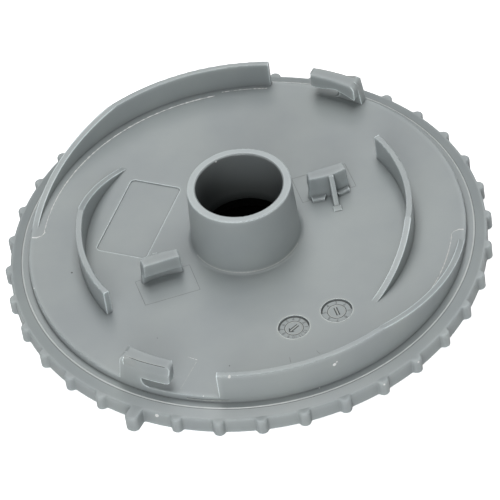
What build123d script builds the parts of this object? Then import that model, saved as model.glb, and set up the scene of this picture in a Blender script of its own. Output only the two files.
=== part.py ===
from build123d import *
import os
from math import asin, cos, degrees, radians, sin, tan

# Bayonet hub cover of a dishwasher spray arm, moulded in one piece from filled plastic.
# Millimetres. Origin on the hub's axis in the plane of the rim's lower edge, +Z up along the hub.
# The disc carries two outer and two inner ramp walls, two hooks and two catches, each pair
# turned half a turn about the hub, and its rim has a ring of grip ribs with one index lug.

# Disc, shoulder and rim
DISC_R = 56.0
DISC_TOP = 7.2
WALL = 2.2
DISC_ROUND = 0.4
STEP_DROP = 2.0
SHOULDER_W = 1.9
RIM_W = 5.1
RIM_SLOPE = 18.0
RIM_ROUND = 0.5
RIM_LAND = 0.1
INNER_ROUND = 0.3

# Hub
BORE_R = 11.08
HUB_WALL = 2.2
HUB_RISE = 17.5
HUB_DRAFT = 2.4
HUB_TOP_ROUND = 0.35
HUB_FOOT_ROUND = 1.0
SEAT_STEP = 1.2
SEAT_RISE = 1.7

# Grip ribs round the rim, and the index lug that takes the place of one rib
RIB_COUNT = 36
RIB_R = 1.5
RIB_REACH = 1.35
RIB_ROOT_ROUND = 0.5
LUG_AT = 240.0
LUG_W = 3.5
LUG_REACH = 4.0
LUG_ROUND = 1.4

# Ramp walls: angles round the hub in degrees, from the blunt end to the ramp's thin end
WALL_RISE = 7.45
WALL_ROUND = 0.3
BURY = 1.0
SIDE_INSET = 0.03
OUTER_WALL_T = 1.6
OUTER_BLUNT_END = 80.0
OUTER_LEVEL_END = 125.0
OUTER_RAMP_END = 168.5
INNER_WALL_R = 41.3
INNER_WALL_T = 1.6
INNER_BLUNT_END = 212.0
INNER_LEVEL_END = 169.0
INNER_RAMP_END = 136.5

# Hooks at the disc's edge: a leg, a free arm over a slot, and a lip along the inside
HOOK_AT = 240.3
HOOK_FOOT = -7.5
HOOK_LEAN = 1.1
HOOK_TIP = 7.1
HOOK_WALL_T = 2.6
HOOK_SLOPE_H = 2.0
HOOK_SLOPE_IN = 1.2
HOOK_SLOPE_ROUND = 1.5
HOOK_HEEL = -5.4
HOOK_HEEL_IN = 0.4
HOOK_HEEL_ROUND = 0.7
HOOK_TIP_ROUND = 1.2
HOOK_CHIN_ROUND = 1.2
HOOK_NOSE_ROUND = 2.2
HOOK_SIDE_ROUND = 0.7
HOOK_EDGE_ROUND = 0.3
HOOK_SLOT_H = 2.6
HOOK_SLOT_END = -0.9
HOOK_SLOT_ROUND = 1.7
HOOK_SLOT_TOP_ROUND = 0.5
HOOK_COVE_W = 1.9
HOOK_COVE_DIP = 0.03
HOOK_LIP = 1.8
HOOK_LIP_SKEW = 2.6
HOOK_LIP_ROUND = 0.5
HOOK_LIP_FOOT = -6.7
HOOK_LIP_END_ROUND = 1.4
HOOK_LEG_LIP_H = 4.5
HOOK_ARCH_LIP_H = 2.8
HOOK_TIP_LIP_H = 3.9
HOOK_LIP_DIP_AT = 3.4
HOOK_ARCH_ROUND = 2.5
HOOK_SEAM = 0.9

# Catches beside the hub: a curved web with a lip, a gusset behind it and two low ledges
CATCH_TURN = 14.7
CATCH_OUT = 24.15
CATCH_CENTRE = 23.7
CATCH_BACK_R = 19.5
CATCH_WEB_T = 1.4
CATCH_LIP_T = 3.3
CATCH_LIP_H = 3.8
CATCH_RISE = 7.1
CATCH_BACK_W = 10.6
CATCH_FRONT_W = 9.4
CATCH_DRAFT = 4.5
CATCH_SWEEP = (250.0, 40.0)
CATCH_ROUND = 0.35
GUSSET_TURN = 7.5
GUSSET_OUT = 24.2
GUSSET_T = 1.3
GUSSET_RISE = 7.0
GUSSET_BACK = 8.1
GUSSET_FLAT = 6.9
GUSSET_TOE = 2.5
GUSSET_ROUND = 0.25
PAD_W = 2.2
PAD_L = 1.8
PAD_IN = 0.55
PAD_H = 0.35
PAD_ROUND = 0.25
LEDGE_IN = 1.1
LEDGE_OUT = 5.0
LEDGE_BEVEL = 0.9
LEDGE_H = 1.0
LEDGE_REACH = 1.4
LEDGE_SEAM = 0.7
LEDGE_ROUND = 0.4

# Shallow recesses in the disc's face
PANEL_L = 26.0
PANEL_W = 13.7
PANEL_AT = (-27.3, 9.9)
PANEL_TURN = 67.0
PANEL_ROUND = 1.2
PANEL_DEPTH = 0.3
DIAL_R = 4.0
DIAL_DEPTH = 0.4
DIALS_AT = ((10.0, -34.5), (21.0, -30.5))

RIM_R = DISC_R + RIM_W
EDGE_R = DISC_R - SIDE_INSET
SHOULDER_Z = DISC_TOP - STEP_DROP
SLOPE_END = RIM_R - RIM_ROUND - RIM_LAND
RIM_TOP = SHOULDER_Z - (SLOPE_END - DISC_R - SHOULDER_W) * tan(radians(RIM_SLOPE))
HUB_TOP = DISC_TOP + HUB_RISE
WALL_TOP = DISC_TOP + WALL_RISE
FOOT_Z = DISC_TOP - BURY
FAR = 2 * RIM_R


def polar(radius, angle):
    """Point at a radius and an angle in degrees."""
    return (radius * cos(radians(angle)), radius * sin(radians(angle)))


def turned(corners, start=0.0, arc=360.0):
    """Solid of revolution from (radius, height, round) corners, over part of a turn."""
    points = [(radius, height) for radius, height, _ in corners]
    rounds = [corner_round for _, _, corner_round in corners]
    line = Plane.XZ * FilletPolyline(*points, radius=rounds, close=True)
    return Rot(0, 0, start) * revolve(make_face(line), Axis.Z, arc)


def disc_and_hub():
    """The disc with its shoulder, its hollow underside and the hub's tube."""
    under_z = DISC_TOP - WALL
    shelf_z = SHOULDER_Z - WALL
    skirt_r = RIM_R - WALL
    hub_r = BORE_R + HUB_WALL
    hub_foot_r = hub_r + HUB_RISE * tan(radians(HUB_DRAFT))
    seat_r = BORE_R + SEAT_STEP
    seat_z = DISC_TOP + SEAT_RISE
    return turned([
        (seat_r, under_z, 0),
        (DISC_R - WALL, under_z, INNER_ROUND),
        (DISC_R - WALL, shelf_z, INNER_ROUND),
        (skirt_r, shelf_z, INNER_ROUND),
        (skirt_r, RIM_TOP / 2, 0),
        (SLOPE_END, RIM_TOP / 2, 0),
        (SLOPE_END, RIM_TOP, 0),
        (DISC_R + SHOULDER_W, SHOULDER_Z, 0),
        (DISC_R, SHOULDER_Z, 0),
        (DISC_R, DISC_TOP, DISC_ROUND),
        (hub_foot_r, DISC_TOP, HUB_FOOT_ROUND),
        (hub_r, HUB_TOP, HUB_TOP_ROUND),
        (BORE_R, HUB_TOP, HUB_TOP_ROUND),
        (BORE_R, seat_z, 0),
        (seat_r, seat_z, 0),
    ])


def rim():
    """The skirt with its grip ribs and index lug, rounded along the top."""
    plan = Circle(RIM_R)
    step = 360.0 / RIB_COUNT
    rib_centre = RIM_R + RIB_REACH - RIB_R
    for i in range(RIB_COUNT):
        if abs(i * step - LUG_AT) > step / 2:
            plan += Pos(*polar(rib_centre, i * step)) * Circle(RIB_R)
    lug = RectangleRounded(2 * LUG_REACH, LUG_W, LUG_ROUND)
    plan += Rot(0, 0, LUG_AT) * Pos(RIM_R, 0) * lug
    roots = [v for v in plan.vertices() if abs(v.center().length - RIM_R) < RIB_ROOT_ROUND / 10]
    plan = fillet(roots, RIB_ROOT_ROUND)
    body = extrude(plan, RIM_TOP)
    top = body.faces().sort_by(Axis.Z)[-1]
    body = fillet(top.outer_wire().edges(), RIM_ROUND)
    return body - extrude(Circle(RIM_R - WALL), RIM_TOP)


def ramp_wall(inner_r, wall_t, blunt_end, level_end, ramp_end):
    """A curved wall with a level top that slopes down to the disc's face."""
    outer_r = inner_r + wall_t
    middle_r = inner_r + wall_t / 2
    buried_end = ramp_end + (ramp_end - level_end) * BURY / WALL_RISE
    wall = turned([
        (inner_r, FOOT_Z, 0),
        (outer_r, FOOT_Z, 0),
        (outer_r, WALL_TOP, WALL_ROUND),
        (inner_r, WALL_TOP, WALL_ROUND),
    ], min(blunt_end, buried_end), abs(buried_end - blunt_end))
    ramp_arc = abs(ramp_end - level_end)
    ramp_l = 2 * middle_r * sin(radians(ramp_arc / 2))
    slope = WALL_RISE / ramp_l
    outline = Polyline(
        (-ramp_l / 2, WALL_TOP),
        (ramp_l, WALL_TOP - slope * (ramp_l / 2 + ramp_l)),
        (ramp_l, 2 * WALL_TOP),
        (-ramp_l / 2, 2 * WALL_TOP),
        close=True,
    )
    wedge = extrude(Plane.XZ * make_face(outline), FAR / 4, both=True)
    if ramp_end < level_end:
        wedge = mirror(wedge, Plane.YZ)
    middle_at = (level_end + ramp_end) / 2
    return wall - Rot(0, 0, middle_at + 90) * Pos(0, -middle_r, 0) * wedge


def rounded_outline(corners):
    """Closed outline from (across, up, round) corners."""
    points = [corner[:2] for corner in corners]
    rounds = [corner[2] for corner in corners]
    return make_face(FilletPolyline(*points, radius=rounds, close=True))


def hook():
    """Leg, free arm and lip of one hook: rings cut by the hook's outlines from the side and above."""
    inner_r = DISC_R - HOOK_WALL_T
    lip_r = inner_r - HOOK_LIP
    leg_lip_z = WALL_TOP - HOOK_LEG_LIP_H
    arch_lip_z = WALL_TOP - HOOK_ARCH_LIP_H
    tip_lip_z = WALL_TOP - HOOK_TIP_LIP_H
    slot_z = DISC_TOP + HOOK_SLOT_H
    cove_z = DISC_TOP - HOOK_COVE_DIP
    wall_ring = turned([
        (inner_r, FOOT_Z, 0),
        (EDGE_R, FOOT_Z, 0),
        (EDGE_R, WALL_TOP - HOOK_SLOPE_H, HOOK_SLOPE_ROUND),
        (DISC_R - HOOK_SLOPE_IN, WALL_TOP, HOOK_EDGE_ROUND),
        (inner_r, WALL_TOP, 0),
    ])
    heel_ring = turned([
        (inner_r + HOOK_HEEL_IN, FOOT_Z, 0),
        (EDGE_R, FOOT_Z, 0),
        (EDGE_R, WALL_TOP, HOOK_HEEL_ROUND),
        (inner_r + HOOK_HEEL_IN, WALL_TOP, 0),
    ])
    lip_ring = turned([
        (lip_r, FOOT_Z, 0),
        (inner_r + HOOK_SEAM, FOOT_Z, 0),
        (inner_r + HOOK_SEAM, WALL_TOP, 0),
        (lip_r, WALL_TOP, HOOK_LIP_ROUND),
    ])
    wall_view = rounded_outline([
        (HOOK_FOOT - HOOK_LEAN * BURY / WALL_RISE, FOOT_Z, 0),
        (HOOK_FOOT + HOOK_LEAN, WALL_TOP, HOOK_HEEL_ROUND),
        (HOOK_TIP, WALL_TOP, HOOK_TIP_ROUND),
        (HOOK_TIP, slot_z, HOOK_CHIN_ROUND),
        (HOOK_SLOT_END, slot_z, HOOK_SLOT_TOP_ROUND),
        (HOOK_SLOT_END, cove_z, HOOK_SLOT_ROUND),
        (HOOK_SLOT_END + HOOK_COVE_W, cove_z, 0),
        (HOOK_SLOT_END + HOOK_COVE_W, FOOT_Z, 0),
    ])
    lip_view = rounded_outline([
        (HOOK_LIP_FOOT, leg_lip_z, HOOK_EDGE_ROUND),
        (HOOK_SLOT_END, arch_lip_z, HOOK_ARCH_ROUND),
        (HOOK_LIP_DIP_AT, tip_lip_z, HOOK_ARCH_ROUND),
        (HOOK_TIP, tip_lip_z, HOOK_CHIN_ROUND),
        (HOOK_TIP, WALL_TOP, HOOK_TIP_ROUND),
        (HOOK_LIP_FOOT, WALL_TOP, HOOK_LIP_END_ROUND),
    ])
    tip_turn = degrees(asin(HOOK_TIP / DISC_R))
    from_above = rounded_outline([
        (*polar(lip_r, tip_turn - 90), HOOK_NOSE_ROUND),
        (*polar(DISC_R, tip_turn - 90), HOOK_SIDE_ROUND),
        (0, -DISC_R - HOOK_LIP, 0),
        (-2 * HOOK_TIP, -DISC_R - HOOK_LIP, 0),
        (-2 * HOOK_TIP, HOOK_LIP - lip_r, 0),
    ])
    through = 4 * HOOK_WALL_T
    wall_cut = Pos(0, -DISC_R, 0) * extrude(Plane.XZ * wall_view, through, both=True)
    lip_cut = Pos(0, -DISC_R, 0) * extrude(Plane.XZ * lip_view, through, both=True)
    heel_side = Pos(HOOK_HEEL, 0, 0) * Box(FAR, FAR, FAR, align=(Align.MAX, Align.CENTER, Align.CENTER))
    wall = wall_ring & wall_cut
    heel = heel_ring & wall_cut & heel_side
    lip = Pos(HOOK_LIP_SKEW, 0, 0) * lip_ring & lip_cut
    return Rot(0, 0, HOOK_AT + 90) * ((wall + heel + lip) & extrude(from_above, FAR))


def catch():
    """Curved web with its flat-faced lip, gusset, foot pad and ledges, beside the hub."""
    top_z = DISC_TOP + CATCH_RISE
    web_r = CATCH_BACK_R - CATCH_WEB_T
    lip_z = top_z - CATCH_LIP_H
    ring = turned([
        (web_r, FOOT_Z, 0),
        (CATCH_BACK_R, FOOT_Z, 0),
        (CATCH_BACK_R, top_z, 0),
        (web_r - CATCH_LIP_T, top_z, 0),
        (web_r - CATCH_LIP_T, lip_z, 0),
        (web_r, lip_z, 0),
    ], *CATCH_SWEEP)
    inset = (CATCH_RISE + BURY) * tan(radians(CATCH_DRAFT))
    front_y = CATCH_LIP_T + inset - CATCH_BACK_R
    half_back = CATCH_BACK_W / 2 + inset
    half_front = CATCH_FRONT_W / 2 + inset
    plan = Polyline(
        (-half_back, -CATCH_BACK_R - CATCH_LIP_T),
        (half_back, -CATCH_BACK_R - CATCH_LIP_T),
        (half_front, front_y),
        (-half_front, front_y),
        close=True,
    )
    web = ring & Pos(0, 0, FOOT_Z) * extrude(make_face(plan), CATCH_RISE + BURY, taper=CATCH_DRAFT)
    web = fillet([e for e in web.edges() if e.center().Z > DISC_TOP], CATCH_ROUND)
    ledge_r = CATCH_BACK_R + LEDGE_REACH
    ledge_ring = turned([
        (web_r + LEDGE_SEAM, FOOT_Z, 0),
        (ledge_r, FOOT_Z, 0),
        (ledge_r, DISC_TOP + LEDGE_H, LEDGE_ROUND),
        (web_r + LEDGE_SEAM, DISC_TOP + LEDGE_H, 0),
    ], *CATCH_SWEEP)
    ledge_plan = Polyline(
        (LEDGE_IN, LEDGE_REACH - CATCH_BACK_R),
        (LEDGE_OUT, LEDGE_REACH - CATCH_BACK_R),
        (LEDGE_OUT, -ledge_r - LEDGE_REACH),
        (LEDGE_IN + 2 * LEDGE_BEVEL, -ledge_r - LEDGE_REACH),
        (LEDGE_IN, -CATCH_BACK_R),
        close=True,
    )
    ledge = ledge_ring & extrude(make_face(ledge_plan), FAR)
    web += [ledge, mirror(ledge, Plane.YZ)]
    web = Rot(0, 0, CATCH_TURN) * Pos(CATCH_OUT, CATCH_CENTRE, 0) * web
    run = (GUSSET_FLAT - GUSSET_TOE) / GUSSET_RISE
    outline = Polyline(
        (GUSSET_BACK, FOOT_Z),
        (GUSSET_BACK, DISC_TOP + GUSSET_RISE),
        (GUSSET_FLAT, DISC_TOP + GUSSET_RISE),
        (GUSSET_TOE - BURY * run, FOOT_Z),
        close=True,
    )
    gusset = extrude(Plane.YZ * make_face(outline), GUSSET_T / 2, both=True)
    ridge = [e for e in gusset.edges() if e.center().Z > DISC_TOP and e.center().Y < GUSSET_BACK]
    ridge = [e for e in ridge if abs(e.center().X) > GUSSET_T / 4]
    gusset = fillet(ridge, GUSSET_ROUND)
    pad = Pos(0, GUSSET_TOE - PAD_IN, DISC_TOP) * Box(PAD_W, PAD_L, 2 * PAD_H)
    pad = fillet([e for e in pad.edges() if e.center().Z > DISC_TOP + PAD_H / 2], PAD_ROUND)
    return web + Rot(0, 0, GUSSET_TURN) * Pos(GUSSET_OUT, 0, 0) * (gusset + pad)


def recesses():
    """Cutters for the marking panel and the two round dials."""
    panel = extrude(RectangleRounded(PANEL_L, PANEL_W, PANEL_ROUND), 2 * PANEL_DEPTH, both=True)
    panel &= Pos(0, 0, PANEL_DEPTH) * Box(FAR, FAR, 4 * PANEL_DEPTH)
    cutters = [Pos(*PANEL_AT, DISC_TOP) * Rot(0, 0, PANEL_TURN) * panel]
    for at in DIALS_AT:
        cutters.append(Pos(*at, DISC_TOP) * Cylinder(DIAL_R, 2 * DIAL_DEPTH))
    return cutters


cover = disc_and_hub() + rim()
features = [
    ramp_wall(EDGE_R - OUTER_WALL_T, OUTER_WALL_T, OUTER_BLUNT_END, OUTER_LEVEL_END, OUTER_RAMP_END),
    ramp_wall(INNER_WALL_R, INNER_WALL_T, INNER_BLUNT_END, INNER_LEVEL_END, INNER_RAMP_END),
    hook(),
    catch(),
]
for shape in features:
    cover += shape
    cover += Rot(0, 0, 180) * shape
for cutter in recesses():
    cover -= cutter
os.makedirs("parts", exist_ok=True)
export_step(cover, "parts/spray_arm_hub_cover.step")
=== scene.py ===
import bmesh
import bpy
import random
from math import cos, pi, radians, sin
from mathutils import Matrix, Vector
from mathutils.bvhtree import BVHTree


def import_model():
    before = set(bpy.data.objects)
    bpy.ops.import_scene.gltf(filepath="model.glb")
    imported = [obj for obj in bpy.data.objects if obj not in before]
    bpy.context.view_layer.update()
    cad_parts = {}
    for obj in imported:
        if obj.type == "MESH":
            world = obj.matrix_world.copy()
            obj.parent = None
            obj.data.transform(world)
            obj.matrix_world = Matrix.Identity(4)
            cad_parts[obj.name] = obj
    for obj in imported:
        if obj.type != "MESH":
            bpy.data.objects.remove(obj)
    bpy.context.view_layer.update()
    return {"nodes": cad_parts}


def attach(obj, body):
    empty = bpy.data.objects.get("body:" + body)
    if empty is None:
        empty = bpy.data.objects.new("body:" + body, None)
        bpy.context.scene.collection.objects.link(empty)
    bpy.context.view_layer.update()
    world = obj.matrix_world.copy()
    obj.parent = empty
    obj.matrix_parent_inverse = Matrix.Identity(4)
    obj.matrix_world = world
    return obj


# Bayonet hub cover of a dishwasher spray arm: the moulding from the frame with its fine moulded
# marks and wear, on a pale floor under soft light. Sizes are millimetres and angles are degrees
# round the hub, both in the part's own frame. MM turns millimetres into the scene's metres.
MM = 0.001

# The moulding
DISC_R = 56.0
DISC_TOP = 7.2
SHOULDER_Z = 5.2
CREST_R = 57.9
WALL_TOP = 14.65
HUB_TOP = 24.7
BORE_R = 11.08
HUB_FOOT_R = 13.6

# How deep the edges of a ridge or a dome lie in the moulding's skin
SINK = 0.03

# Parting lines and flash, some coloured as painted highlights and painted shade, and the painted
# highlight at the hub's foot
CREST_FIN_IN = 0.05
CREST_GAP_OUT = 0.27
CREST_GAP_DROP = 0.08
HUB_FOOT_RISE = 0.1
HUB_FOOT_SPAN = (205.0, 335.0)
FLASH_R = 52.5
FLASH_SPAN = (96.0, 170.0)
FLASH_HOOK = ((-51.6, 8.9), (-52.3, 7.8), (-53.8, 7.3), (-54.9, 7.5))
FOOT_FLASH_R = 53.4
FOOT_FLASH_SPAN = (81.0, 94.0)
HOOK_SEAM_R = 54.8
HOOK_SEAM_SPAN = (234.6, 246.2)
HOOK_EDGE_SCALE = 0.996
DISC_SEAM_Z = 5.85
DISC_SEAM_GAP = 0.25
DISC_SEAM_SPAN = (251.5, 262.5)

# Torn flash: its span, then the range of each bit's place off the disc, length and gap
TORN_SPAN = (236.5, 247.5)
TORN_OUT = (0.15, 0.35)
TORN_LENGTH = (0.25, 0.9)
TORN_GAP = (0.3, 1.1)

# Blend between a hook's square heel and the slope along its top: angles, then radius and height
BLEND_SPAN = (234.5, 238.6)
BLEND_STEPS = 10
BLEND_HEEL = ((55.9, 12.5), (55.98, 13.9), (55.76, 14.5), (55.2, 14.67), (54.6, 14.67))
BLEND_SLOPE = ((55.9, 12.5), (55.6, 13.2), (55.25, 13.8), (54.95, 14.3), (54.6, 14.6))
BLEND_INNER = ((54.5, 14.0), (55.2, 12.4))

# Line left on the disc by the mould's insert round each catch
WITNESS = ((-29.0, -12.5), (-26.7, -21.1), (-12.7, -17.8), (-15.0, -8.7))

# Date dials let into the disc: name, centre, the arrow's way, numbers, whether the arrow has a head
DIALS = (
    ("left_dial", (10.0, -34.5), 42.0, 12, True),
    ("right_dial", (21.0, -30.5), 104.0, 8, False),
)
DIAL_FLOOR = 6.8
DIAL_RING_R = 2.15
DIAL_GROOVE_OUT = 0.2
DIAL_WALL_R = 3.75
DIAL_SHADOW_SPAN = (5.0, 185.0)
DIAL_LIP_R = 4.2
DIAL_NUMBER_R = 3.0
NUMBER_SIZE = 1.3
NUMBER_H = 0.1
ARROW_HALF_L = 1.35
ARROW_HALF_W = 0.34
ARROW_TIP = 1.6
BARB_BACK = 0.8
BARB_OUT = 0.85
STEM_SPAN = (-1.2, 1.3)

# Scratches from point to point on the disc
LIGHT_SCRATCH = ((-16.8, -40.5), (-14.5, -41.9))
FLOW_LINE = ((-14.8, -42.5), (-19.1, -51.0))
DARK_SCRATCHES = (
    ((8.3, -44.6), (8.5, -46.4)),
    ((15.1, -43.4), (15.8, -44.5)),
)

# Burrs and nicks, then dark specks: angle, radius, height and size. The light spots at radius 62.4 on
# the ribs are painted glints
NICK_RISE = 0.4
NICK_SQUASH = 0.85
LIGHT_SPOTS = (
    (263.4, 55.9, 14.5, 0.45),
    (290.2, 56.0, 11.3, 0.55),
    (290.9, 56.0, 11.9, 0.3),
    (245.2, 61.1, 3.5, 0.6),
    (246.0, 55.9, 9.8, 0.22),
    (190.9, 55.8, 7.1, 0.22),
    (299.6, 62.4, 3.9, 0.3),
    (309.6, 62.4, 3.9, 0.3),
    (118.9, 11.1, 24.3, 0.25),
    (255.9, 55.8, 7.1, 0.2),
    (285.4, 56.1, 5.3, 0.18),
)
DARK_SPOTS = (
    (237.4, 55.7, 13.3, 0.2),
    (233.7, 40.8, 7.2, 0.16),
    (261.6, 45.6, 7.2, 0.22),
    (188.4, 45.5, 7.2, 0.32),
    (283.4, 58.1, 5.1, 0.2),
)

# Plastic: its clouds, the band of their texture that the two tints span, its grain and soft edges
IOR = 1.5
CLOUD_SCALE = 70.0
CLOUD_DETAIL = 4.0
CLOUD_BAND = (0.34, 0.66)
GRAIN_SCALE = 2600.0
GRAIN_DETAIL = 2.0
GRAIN_STRENGTH = 0.06
GRAIN_DEPTH = 0.05
EDGE_R = 0.35
SHADE_SAMPLES = 6

# Painted shade in the moulding's corners and painted highlights along its outside edges: reach,
# strongest factor, whether it paints a highlight on outside edges instead of shade in corners, and the
# part of the shade's range that it is spread over
PAINTED_SHADES_AND_HIGHLIGHTS = (
    (7.0, 0.86, False, 0.0, 1.0),
    (2.5, 0.76, False, 0.0, 1.0),
    (0.6, 0.5, False, 0.0, 1.0),
    (1.6, 1.4, True, 0.0, 1.0),
    (0.4, 2.6, True, 0.45, 0.88),
)

# Painted shade: the bore fades to dark between two heights. Painted highlight: the hub's end face is
# paler
BORE_DARK_Z = 7.5
BORE_LIT_Z = 11.5
BORE_DARK_SHARE = 0.02
BORE_LIT_SHARE = 0.54
BORE_EDGE = 0.35
BORE_SPREAD = 0.075
HUB_END_FROM = 0.3
HUB_END_TO = 0.15
HUB_END_HIGHLIGHT_GAIN = 1.3

# The floor, whose side is in metres, is painted near black below the part as painted shade
FLOOR_SIZE = 6.0
COVERED_R = 54.0
OPEN_R = 57.0
COVERED_SHADE_TONE = 0.01
OPEN_TONE = 0.9
FLOOR_GLOW = 0.8

# Soft lamps: size and reach in metres, then name, side and height in degrees, and watts
LAMP_SIZE = 0.9
LAMP_REACH = 1.5
LAMPS = (
    ("overhead", 90.0, 80.0, 10.6),
    ("back", 90.0, 50.0, 4.4),
    ("back_right", 30.0, 30.0, 2.0),
    ("right_low", 10.0, 7.0, 1.7),
    ("front_left_low", 225.0, 12.0, 1.4),
    ("front_low", 262.0, 14.0, 7.6),
    ("front", 256.0, 38.0, 4.6),
)

# The photo's camera: focal length and sensor in millimetres, place in metres, turn in degrees
CAMERA_LENS = 299.37
CAMERA_SENSOR = 36.0
CAMERA_PLACE = (0.04225, -0.746343, 0.755989)
CAMERA_TURN = (44.3703, 6.2802, -3.1595)
CAMERA_FAR = 20.0

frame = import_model()
cover = frame["nodes"]["spray_arm_hub_cover"]
skin = BVHTree.FromPolygons(
    [vertex.co.copy() for vertex in cover.data.vertices],
    [tuple(face.vertices) for face in cover.data.polygons],
)
draw = random.Random(7)


def grey(value):
    """An opaque grey from its linear value."""
    return (value, value, value, 1.0)


def linear(red, green, blue):
    """A colour written as 0 to 255 on the screen, as the renderer wants it."""
    def one(value):
        part = value / 255
        return part / 12.92 if part < 0.04045 else ((part + 0.055) / 1.055) ** 2.4
    return (one(red), one(green), one(blue), 1.0)


def new_material(name):
    """An empty node material, with its nodes and links."""
    material = bpy.data.materials.new(name)
    material.use_nodes = True
    nodes = material.node_tree.nodes
    nodes.clear()
    return material, nodes, material.node_tree.links


def noise(nodes, links, place, scale, detail):
    """A noise texture over the part's own coordinates."""
    texture = nodes.new("ShaderNodeTexNoise")
    texture.inputs["Scale"].default_value = scale
    texture.inputs["Detail"].default_value = detail
    links.new(place.outputs["Object"], texture.inputs["Vector"])
    return texture


def tint_ramp(nodes, links, source, dark, light):
    """Two colours laid over the middle part of a texture."""
    ramp = nodes.new("ShaderNodeValToRGB")
    for stop, position, colour in zip(ramp.color_ramp.elements, CLOUD_BAND, (dark, light)):
        stop.position = position
        stop.color = colour
    links.new(source, ramp.inputs["Fac"])
    return ramp.outputs["Color"]


def mapped(nodes, links, source, start, end, low, high):
    """A value spread from start to end over the range from low to high."""
    span = nodes.new("ShaderNodeMapRange")
    span.inputs["From Min"].default_value = start
    span.inputs["From Max"].default_value = end
    span.inputs["To Min"].default_value = low
    span.inputs["To Max"].default_value = high
    links.new(source, span.inputs["Value"])
    return span.outputs["Result"]


def multiplied(nodes, links, colour, factor):
    """A colour times a factor."""
    mix = nodes.new("ShaderNodeMix")
    mix.data_type = "RGBA"
    mix.blend_type = "MULTIPLY"
    mix.inputs["Factor"].default_value = 1.0
    links.new(colour, mix.inputs["A"])
    links.new(factor, mix.inputs["B"])
    return mix.outputs["Result"]


def painted_shade_and_highlight(nodes, links, colour, reach, factor, inside, low, high):
    """Painted shade that darkens a colour in corners, or a painted highlight that lightens it along
    outside edges where inside is set.
    """
    shade = nodes.new("ShaderNodeAmbientOcclusion")
    shade.samples = SHADE_SAMPLES
    shade.inside = inside
    shade.only_local = True
    shade.inputs["Distance"].default_value = reach
    share = mapped(nodes, links, shade.outputs["AO"], low, high, factor, 1.0)
    return multiplied(nodes, links, colour, share)


def painted_bore_shade_and_hub_highlight(nodes, links, place, colour):
    """Painted shade inside the bore, within a cone that widens downwards, and a painted highlight on
    the hub's end face.
    """
    axes = nodes.new("ShaderNodeSeparateXYZ")
    links.new(place.outputs["Object"], axes.inputs["Vector"])
    flat = nodes.new("ShaderNodeCombineXYZ")
    links.new(axes.outputs["X"], flat.inputs["X"])
    links.new(axes.outputs["Y"], flat.inputs["Y"])
    reach = nodes.new("ShaderNodeVectorMath")
    reach.operation = "LENGTH"
    links.new(flat.outputs["Vector"], reach.inputs[0])
    cone = nodes.new("ShaderNodeMath")
    cone.operation = "MULTIPLY_ADD"
    cone.inputs[1].default_value = BORE_SPREAD
    links.new(axes.outputs["Z"], cone.inputs[0])
    links.new(reach.outputs["Value"], cone.inputs[2])
    outside = nodes.new("ShaderNodeMath")
    outside.operation = "GREATER_THAN"
    outside.inputs[1].default_value = (BORE_R + BORE_EDGE + HUB_TOP * BORE_SPREAD) * MM
    links.new(cone.outputs["Value"], outside.inputs[0])
    height = axes.outputs["Z"]
    start, end = BORE_DARK_Z * MM, BORE_LIT_Z * MM
    rise = mapped(nodes, links, height, start, end, BORE_DARK_SHARE, BORE_LIT_SHARE)
    either = nodes.new("ShaderNodeMath")
    either.operation = "MAXIMUM"
    links.new(outside.outputs["Value"], either.inputs[0])
    links.new(rise, either.inputs[1])
    colour = multiplied(nodes, links, colour, either.outputs["Value"])
    start, end = (HUB_TOP - HUB_END_FROM) * MM, (HUB_TOP - HUB_END_TO) * MM
    gain = mapped(nodes, links, height, start, end, 1.0, HUB_END_HIGHLIGHT_GAIN)
    return multiplied(nodes, links, colour, gain)


def soft_surface(nodes, links, place, shader):
    """Fine grain over edges that are softened in the light only."""
    bevel = nodes.new("ShaderNodeBevel")
    bevel.samples = SHADE_SAMPLES
    bevel.inputs["Radius"].default_value = EDGE_R * MM
    grain = noise(nodes, links, place, GRAIN_SCALE, GRAIN_DETAIL)
    bump = nodes.new("ShaderNodeBump")
    bump.inputs["Strength"].default_value = GRAIN_STRENGTH
    bump.inputs["Distance"].default_value = GRAIN_DEPTH * MM
    links.new(grain.outputs["Fac"], bump.inputs["Height"])
    links.new(bevel.outputs["Normal"], bump.inputs["Normal"])
    links.new(bump.outputs["Normal"], shader.inputs["Normal"])


def plastic(name, dark, light, roughness, moulding=False):
    """Grey plastic with faint clouds; on the moulding also with painted shade in corners and the bore,
    painted highlights on outside edges and the hub's end face, grain and soft edges.
    """
    material, nodes, links = new_material(name)
    shader = nodes.new("ShaderNodeBsdfPrincipled")
    shader.inputs["Roughness"].default_value = roughness
    shader.inputs["IOR"].default_value = IOR
    output = nodes.new("ShaderNodeOutputMaterial")
    links.new(shader.outputs[0], output.inputs["Surface"])
    place = nodes.new("ShaderNodeTexCoord")
    clouds = noise(nodes, links, place, CLOUD_SCALE, CLOUD_DETAIL)
    colour = tint_ramp(nodes, links, clouds.outputs["Fac"], linear(*dark), linear(*light))
    if moulding:
        for reach, factor, inside, low, high in PAINTED_SHADES_AND_HIGHLIGHTS:
            colour = painted_shade_and_highlight(nodes, links, colour, reach * MM, factor, inside, low, high)
        colour = painted_bore_shade_and_hub_highlight(nodes, links, place, colour)
        soft_surface(nodes, links, place, shader)
    links.new(colour, shader.inputs["Base Color"])
    return material


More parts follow.
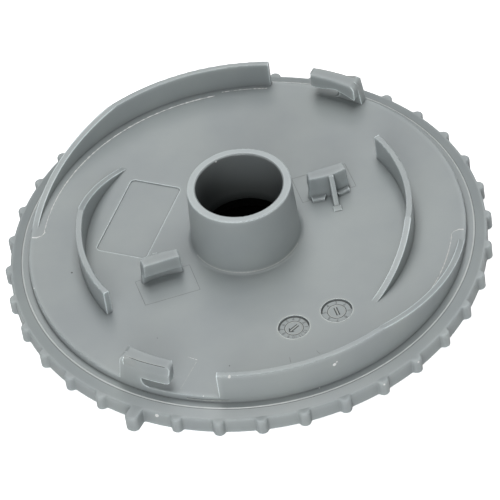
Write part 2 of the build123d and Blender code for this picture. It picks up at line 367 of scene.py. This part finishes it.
def floor_material():
    """Pale floor that the camera sees as white, with the part's shadow kept and painted shade, a
    near-black tone, below it.
    """
    material, nodes, links = new_material("pale_floor")
    place = nodes.new("ShaderNodeTexCoord")
    reach = nodes.new("ShaderNodeVectorMath")
    reach.operation = "LENGTH"
    links.new(place.outputs["Object"], reach.inputs[0])
    covered = mapped(nodes, links, reach.outputs["Value"], COVERED_R * MM, OPEN_R * MM, 0.0, 1.0)
    tone = nodes.new("ShaderNodeMix")
    tone.data_type = "RGBA"
    tone.inputs["A"].default_value = grey(COVERED_SHADE_TONE)
    tone.inputs["B"].default_value = grey(OPEN_TONE)
    links.new(covered, tone.inputs["Factor"])
    diffuse = nodes.new("ShaderNodeBsdfDiffuse")
    links.new(tone.outputs["Result"], diffuse.inputs["Color"])
    path = nodes.new("ShaderNodeLightPath")
    strength = nodes.new("ShaderNodeMath")
    strength.operation = "MULTIPLY"
    links.new(path.outputs["Is Camera Ray"], strength.inputs[0])
    links.new(covered, strength.inputs[1])
    glow = nodes.new("ShaderNodeEmission")
    glow.inputs["Color"].default_value = grey(FLOOR_GLOW)
    links.new(strength.outputs["Value"], glow.inputs["Strength"])
    both = nodes.new("ShaderNodeAddShader")
    links.new(diffuse.outputs[0], both.inputs[0])
    links.new(glow.outputs[0], both.inputs[1])
    output = nodes.new("ShaderNodeOutputMaterial")
    links.new(both.outputs[0], output.inputs["Surface"])
    return material


def settle(point):
    """The nearest place on the moulding to a point in millimetres, with the surface's direction."""
    place, normal, _, _ = skin.find_nearest(Vector(point) * MM)
    return place, normal


def keep(name, build, material):
    """A finished piece of the moulding, attached to the root body."""
    mesh = bpy.data.meshes.new(name)
    build.normal_update()
    build.to_mesh(mesh)
    build.free()
    piece = bpy.data.objects.new(name, mesh)
    bpy.context.scene.collection.objects.link(piece)
    mesh.materials.append(material)
    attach(piece, "root")


def loft(build, rings, closed=False):
    """Faces from ring to ring, which meet at the ends where closed is set and are capped otherwise."""
    pairs = list(zip(rings, rings[1:]))
    if closed:
        pairs.append((rings[-1], rings[0]))
    else:
        build.faces.new(rings[0])
        build.faces.new(list(reversed(rings[-1])))
    for first, second in pairs:
        for i in range(len(first)):
            j = (i + 1) % len(first)
            build.faces.new((first[i], second[i], second[j], first[j]))


def ridge(build, points, width, height, closed=False, ragged=0.0):
    """A low rounded ridge along points on the moulding; ragged makes it swell and fade."""
    seats = [settle(point) for point in points]
    count = len(seats)
    rings = []
    for i, (place, normal) in enumerate(seats):
        before = seats[(i - 1) % count if closed else max(i - 1, 0)][0]
        after = seats[(i + 1) % count if closed else min(i + 1, count - 1)][0]
        side = (after - before).cross(normal).normalized()
        swell = 1.0 + ragged * draw.uniform(-1.0, 1.0)
        half = width * MM / 2 * swell
        top = height * MM * swell
        foot = -SINK * MM
        across = ((-1.0, foot), (-0.6, top * 0.7), (0.0, top), (0.6, top * 0.7), (1.0, foot))
        rings.append([build.verts.new(place + side * half * a + normal * b) for a, b in across])
    loft(build, rings, closed)


def ridge_piece(name, material, points, **form):
    """A piece that is one ridge."""
    build = bmesh.new()
    ridge(build, points, **form)
    keep(name, build, material)


def dome(build, point, radius, height, squash=1.0, twist=0.0):
    """A small flat dome on the moulding: a speck, a burr or a nick's raised lip."""
    place, normal = settle(point)
    along = normal.orthogonal().normalized()
    side = normal.cross(along)
    steps = 10
    rings = []
    for share, rise in ((1.0, -SINK * MM), (0.75, height * MM * 0.7), (0.35, height * MM)):
        ring = []
        for i in range(steps):
            angle = 2 * pi * i / steps + twist
            out = along * cos(angle) * radius * MM + side * sin(angle) * radius * MM * squash
            ring.append(build.verts.new(place + out * share + normal * rise))
        rings.append(ring)
    loft(build, rings[::-1])


def polar(radius, angle, height):
    """A point from its radius and angle round the hub."""
    return (radius * cos(radians(angle)), radius * sin(radians(angle)), height)


def arc(radius, height, start, end, step=1.0):
    """Points round the hub from one angle to another."""
    count = max(2, round(abs(end - start) / step) + 1)
    return [polar(radius, start + (end - start) * i / (count - 1), height) for i in range(count)]


def line(start, end, height, step=0.8):
    """Points on a straight line."""
    first, last = Vector((*start, height)), Vector((*end, height))
    count = max(2, round((last - first).length / step) + 1)
    return [tuple(first.lerp(last, i / (count - 1))) for i in range(count)]


def half_turned(points):
    """Points turned half a turn about the hub."""
    return [(-x, -y, z) for x, y, z in points]


def crest_lines():
    """The rim's parting line: a fin on the crest, coloured bright as a painted highlight, and the thin
    gap beside it, darker as painted shade.
    """
    fin = arc(CREST_R - CREST_FIN_IN, SHOULDER_Z, 0, 359)
    ridge_piece("crest_fin_glint", glint, fin, width=0.42, height=0.14, closed=True, ragged=0.12)
    gap = arc(CREST_R + CREST_GAP_OUT, SHOULDER_Z - CREST_GAP_DROP, 0, 359)
    ridge_piece("crest_gap_shade", faint, gap, width=0.2, height=0.02, closed=True)


def hub_foot():
    """Painted highlight: a bright line where the hub's foot meets the disc, on the side that faces the
    light.
    """
    foot = arc(HUB_FOOT_R, DISC_TOP + HUB_FOOT_RISE, *HUB_FOOT_SPAN)
    ridge_piece("hub_foot_highlight", bright, foot, width=0.2, height=0.04, ragged=0.3)


def wall_flash():
    """Beaded flash inside each outer wall, which hooks outwards at the ramp's thin end."""
    path = arc(FLASH_R, DISC_TOP, *FLASH_SPAN, 0.5) + [(x, y, DISC_TOP) for x, y in FLASH_HOOK]
    foot = arc(FOOT_FLASH_R, DISC_TOP, *FOOT_FLASH_SPAN, 0.4)
    pieces = (
        ("wall_flash_a", path, foot),
        ("wall_flash_b", half_turned(path), half_turned(foot)),
    )
    for name, along_wall, along_foot in pieces:
        flash = bmesh.new()
        ridge(flash, along_wall, width=0.28, height=0.12, ragged=0.7)
        ridge(flash, along_foot, width=0.18, height=0.08, ragged=0.95)
        keep(name, flash, burr)


def hook_seams():
    """Fine parting line along the top of each hook, darker as painted shade, with a painted highlight
    along the edge inside it.
    """
    path = arc(HOOK_SEAM_R, WALL_TOP, *HOOK_SEAM_SPAN)
    for name, points in (("hook_seam_a", path), ("hook_seam_b", half_turned(path))):
        ridge_piece(name, seam, points, width=0.16, height=0.03)
        edge = [(x * HOOK_EDGE_SCALE, y * HOOK_EDGE_SCALE, z) for x, y, z in points]
        ridge_piece(name + "_edge", bright, edge, width=0.14, height=0.03)


def hook_blends():
    """Eases the step between each hook's square heel and the slope along its top."""
    start, end = BLEND_SPAN
    for name, half_turn in (("hook_blend_a", 0.0), ("hook_blend_b", 180.0)):
        build = bmesh.new()
        rings = []
        for i in range(BLEND_STEPS + 1):
            share = i / BLEND_STEPS
            ease = 1.0 - share * share * (3.0 - 2.0 * share)
            angle = start + (end - start) * share + half_turn
            profile = []
            for (slope_r, slope_z), (heel_r, heel_z) in zip(BLEND_SLOPE, BLEND_HEEL):
                radius = slope_r + (heel_r - slope_r) * ease
                height = slope_z + (heel_z - slope_z) * ease
                profile.append((radius, height))
            profile.extend(BLEND_INNER)
            rings.append([build.verts.new(Vector(polar(r, angle, z)) * MM) for r, z in profile])
        loft(build, rings)
        bmesh.ops.recalc_face_normals(build, faces=build.faces)
        keep(name, build, plain)


def witness_lines():
    """The mould insert's outline round each catch."""
    corners = WITNESS + WITNESS[:1]
    sides = [line(start, end, DISC_TOP) for start, end in zip(corners, corners[1:])]
    pieces = (
        ("left_witness", sides),
        ("right_witness", [half_turned(points) for points in sides]),
    )
    for name, outline in pieces:
        build = bmesh.new()
        for points in outline:
            ridge(build, points, width=0.16, height=0.02)
        keep(name, build, faint)


def numeral(build, text, at, turn):
    """A raised number, from the built-in plain font."""
    curve = bpy.data.curves.new("numeral", "FONT")
    curve.body = text
    curve.size = NUMBER_SIZE * MM
    curve.align_x = "CENTER"
    curve.align_y = "CENTER"
    curve.extrude = NUMBER_H * MM / 2
    curve.resolution_u = 2
    holder = bpy.data.objects.new("numeral", curve)
    bpy.context.scene.collection.objects.link(holder)
    holder.location = at
    holder.rotation_euler = (0.0, 0.0, turn)
    bpy.context.view_layer.update()
    graph = bpy.context.evaluated_depsgraph_get()
    mesh = bpy.data.meshes.new_from_object(holder.evaluated_get(graph))
    mesh.transform(holder.matrix_world)
    build.from_mesh(mesh)
    bpy.data.objects.remove(holder)
    bpy.data.curves.remove(curve)
    bpy.data.meshes.remove(mesh)


def ring_round(centre, radius, height, start, end, step):
    """Points round a dial's centre from one angle to another."""
    x, y = centre
    return [(x + across, y + up, height) for across, up, _ in arc(radius, 0, start, end, step)]


def dial_rings(name, centre):
    """The dial's inner disc with a painted highlight on its edge, painted shade in the groove round it
    and along its far wall, and a painted highlight on its lip.
    """
    ring = ring_round(centre, DIAL_RING_R, DIAL_FLOOR, 0, 350, 10)
    ridge_piece(name + "_ring", bright, ring, width=0.22, height=0.06, closed=True)
    groove = bmesh.new()
    points = ring_round(centre, DIAL_RING_R + DIAL_GROOVE_OUT, DIAL_FLOOR, 0, 350, 10)
    ridge(groove, points, width=0.22, height=0.02, closed=True)
    points = ring_round(centre, DIAL_WALL_R, DIAL_FLOOR, *DIAL_SHADOW_SPAN, 5)
    ridge(groove, points, width=0.45, height=0.03)
    keep(name + "_groove", groove, seam)
    lip = ring_round(centre, DIAL_LIP_R, DISC_TOP, 0, 355, 5)
    ridge_piece(name + "_lip", bright, lip, width=0.25, height=0.04, closed=True)


def dial_arrow(name, centre, turn, headed):
    """The dial's arrow: two dark strokes of painted shade along its flanks with a painted highlight on
    the stem between them, and a head if it has one.
    """
    arrow = bmesh.new()
    along = Vector((cos(turn), sin(turn)))
    side = Vector((-along.y, along.x))
    middle = Vector(centre)
    for shift in (-ARROW_HALF_W, ARROW_HALF_W):
        start = middle - along * ARROW_HALF_L + side * shift
        end = middle + along * ARROW_HALF_L + side * shift
        ridge(arrow, line(start, end, DIAL_FLOOR), width=0.36, height=0.03)
    if headed:
        tip = middle - along * ARROW_TIP
        for way in (-1.0, 1.0):
            barb = tip + along * BARB_BACK + side * BARB_OUT * way
            ridge(arrow, line(tip, barb, DIAL_FLOOR, 0.3), width=0.36, height=0.03)
    keep(name + "_arrow", arrow, seam)
    start, end = STEM_SPAN
    stem = line(middle + along * start, middle + along * end, DIAL_FLOOR)
    ridge_piece(name + "_stem", bright, stem, width=0.3, height=0.1)


def dial_numbers(name, centre, count):
    """Plain raised numbers round the dial, darker as painted shade."""
    x, y = centre
    numbers = bmesh.new()
    for i in range(count):
        angle = 2 * pi * i / count
        at = (x + DIAL_NUMBER_R * cos(angle), y + DIAL_NUMBER_R * sin(angle), DIAL_FLOOR)
        numeral(numbers, str(i + 1), Vector(at) * MM, angle - pi / 2)
    keep(name + "_numbers", numbers, stamp)


def torn_edge():
    """Torn flash at the disc's foot below the front hook, and the lifted seam beside it: its lip
    lighter as a painted highlight and a darker line of painted shade above it.
    """
    torn = bmesh.new()
    start, end = TORN_SPAN
    while start < end:
        length = draw.uniform(*TORN_LENGTH)
        radius = DISC_R + draw.uniform(*TORN_OUT)
        bit = arc(radius, SHOULDER_Z, start, start + length, 0.2)
        ridge(torn, bit, width=0.22, height=0.08, ragged=0.6)
        start += length + draw.uniform(*TORN_GAP)
    lip = arc(DISC_R, DISC_SEAM_Z, *DISC_SEAM_SPAN, 0.5)
    ridge_piece("disc_seam_lip", bright, lip, width=0.16, height=0.06, ragged=0.5)
    keep("torn_flash", torn, faint)
    gap = arc(DISC_R, DISC_SEAM_Z + DISC_SEAM_GAP, *DISC_SEAM_SPAN)
    ridge_piece("disc_seam", seam, gap, width=0.2, height=0.02)


def wear():
    """Scratches, burrs and specks, each at its own place on the moulding; the light spots on the ribs
    are painted glints.
    """
    light = bmesh.new()
    ridge(light, line(*LIGHT_SCRATCH, DISC_TOP, 0.4), width=0.13, height=0.03, ragged=0.8)
    for angle, radius, height, size in LIGHT_SPOTS:
        dome(light, polar(radius, angle, height), size, size * NICK_RISE, NICK_SQUASH, twist=angle)
    keep("light_marks", light, burr)
    flow = line(*FLOW_LINE, DISC_TOP, 0.5)
    ridge_piece("flow_line", bright, flow, width=0.14, height=0.02, ragged=0.8)
    dark = bmesh.new()
    for start, end in DARK_SCRATCHES:
        ridge(dark, line(start, end, DISC_TOP, 0.4), width=0.12, height=0.015)
    for angle, radius, height, size in DARK_SPOTS:
        dome(dark, polar(radius, angle, height), size, 0.02)
    keep("dark_specks", dark, speck)


def floor():
    """The floor that the part lies on."""
    bpy.ops.mesh.primitive_plane_add(size=FLOOR_SIZE, location=(0, 0, 0))
    plane = bpy.context.object
    plane.name = "floor"
    plane.data.materials.append(floor_material())


def soft_light(name, side, level, power):
    """A square soft lamp that points at the part, from a side and a height in degrees."""
    lamp = bpy.data.lights.new(name, "AREA")
    lamp.shape = "SQUARE"
    lamp.size = LAMP_SIZE
    lamp.energy = power
    holder = bpy.data.objects.new(name, lamp)
    bpy.context.scene.collection.objects.link(holder)
    place = Vector(polar(LAMP_REACH * cos(radians(level)), side, LAMP_REACH * sin(radians(level))))
    holder.location = place
    holder.rotation_euler = (-place).to_track_quat("-Z", "Y").to_euler()


def world():
    """A world that gives no light, since the lamps give it all."""
    ground = bpy.data.worlds.new("studio")
    ground.use_nodes = True
    back = ground.node_tree.nodes["Background"]
    back.inputs["Strength"].default_value = 0.0
    bpy.context.scene.world = ground


def camera():
    """The photo's camera."""
    lens = bpy.data.cameras.new("camera")
    lens.lens = CAMERA_LENS
    lens.sensor_width = CAMERA_SENSOR
    lens.clip_end = CAMERA_FAR
    holder = bpy.data.objects.new("camera", lens)
    holder.location = CAMERA_PLACE
    holder.rotation_euler = [radians(turn) for turn in CAMERA_TURN]
    bpy.context.scene.collection.objects.link(holder)
    bpy.context.scene.camera = holder


moulded = plastic("moulded_plastic", (158, 165, 167), (165, 172, 172), 0.33, moulding=True)
# Darker tone as painted shade in seams, grooves, along the dials' far walls and on the arrows' flanks
seam = plastic("seam_shade", (66, 69, 69), (78, 81, 80), 0.7)
# Darker tone as painted shade in the crest's gap, also used for the witness lines and torn flash
faint = plastic("faint_seam", (118, 122, 122), (128, 132, 131), 0.6)
# Darker tone as painted shade of the raised numbers
stamp = plastic("stamped_number", (112, 116, 116), (122, 126, 125), 0.5)
# Lighter tone as painted highlights on the hub's foot, the hooks' edges, the dials' rings, lips and
# stems and the disc seam's lip, and as the pale flow line
bright = plastic("thin_flash_and_highlight", (180, 184, 180), (196, 200, 196), 0.35)
# Painted glint along the crest's fin
glint = plastic("crest_glint", (204, 210, 209), (216, 221, 220), 0.35)
plain = plastic("plain_plastic", (157, 163, 164), (164, 170, 169), 0.33)
# Pale burrs, nicks and flash, and the painted glints on the ribs
burr = plastic("pale_burr", (222, 224, 222), (240, 241, 240), 0.3)
speck = plastic("dark_speck", (92, 95, 94), (106, 109, 108), 0.6)

cover.data.materials.clear()
cover.data.materials.append(moulded)
crest_lines()
hub_foot()
wall_flash()
hook_seams()
hook_blends()
witness_lines()
for dial_name, centre, arrow_turn, number_count, headed in DIALS:
    dial_rings(dial_name, centre)
    dial_arrow(dial_name, centre, radians(arrow_turn), headed)
    dial_numbers(dial_name, centre, number_count)
torn_edge()
wear()

floor()
for lamp_name, side, level, power in LAMPS:
    soft_light(lamp_name, side, level, power)
world()
camera()
bpy.context.scene.view_settings.view_transform = "Standard"
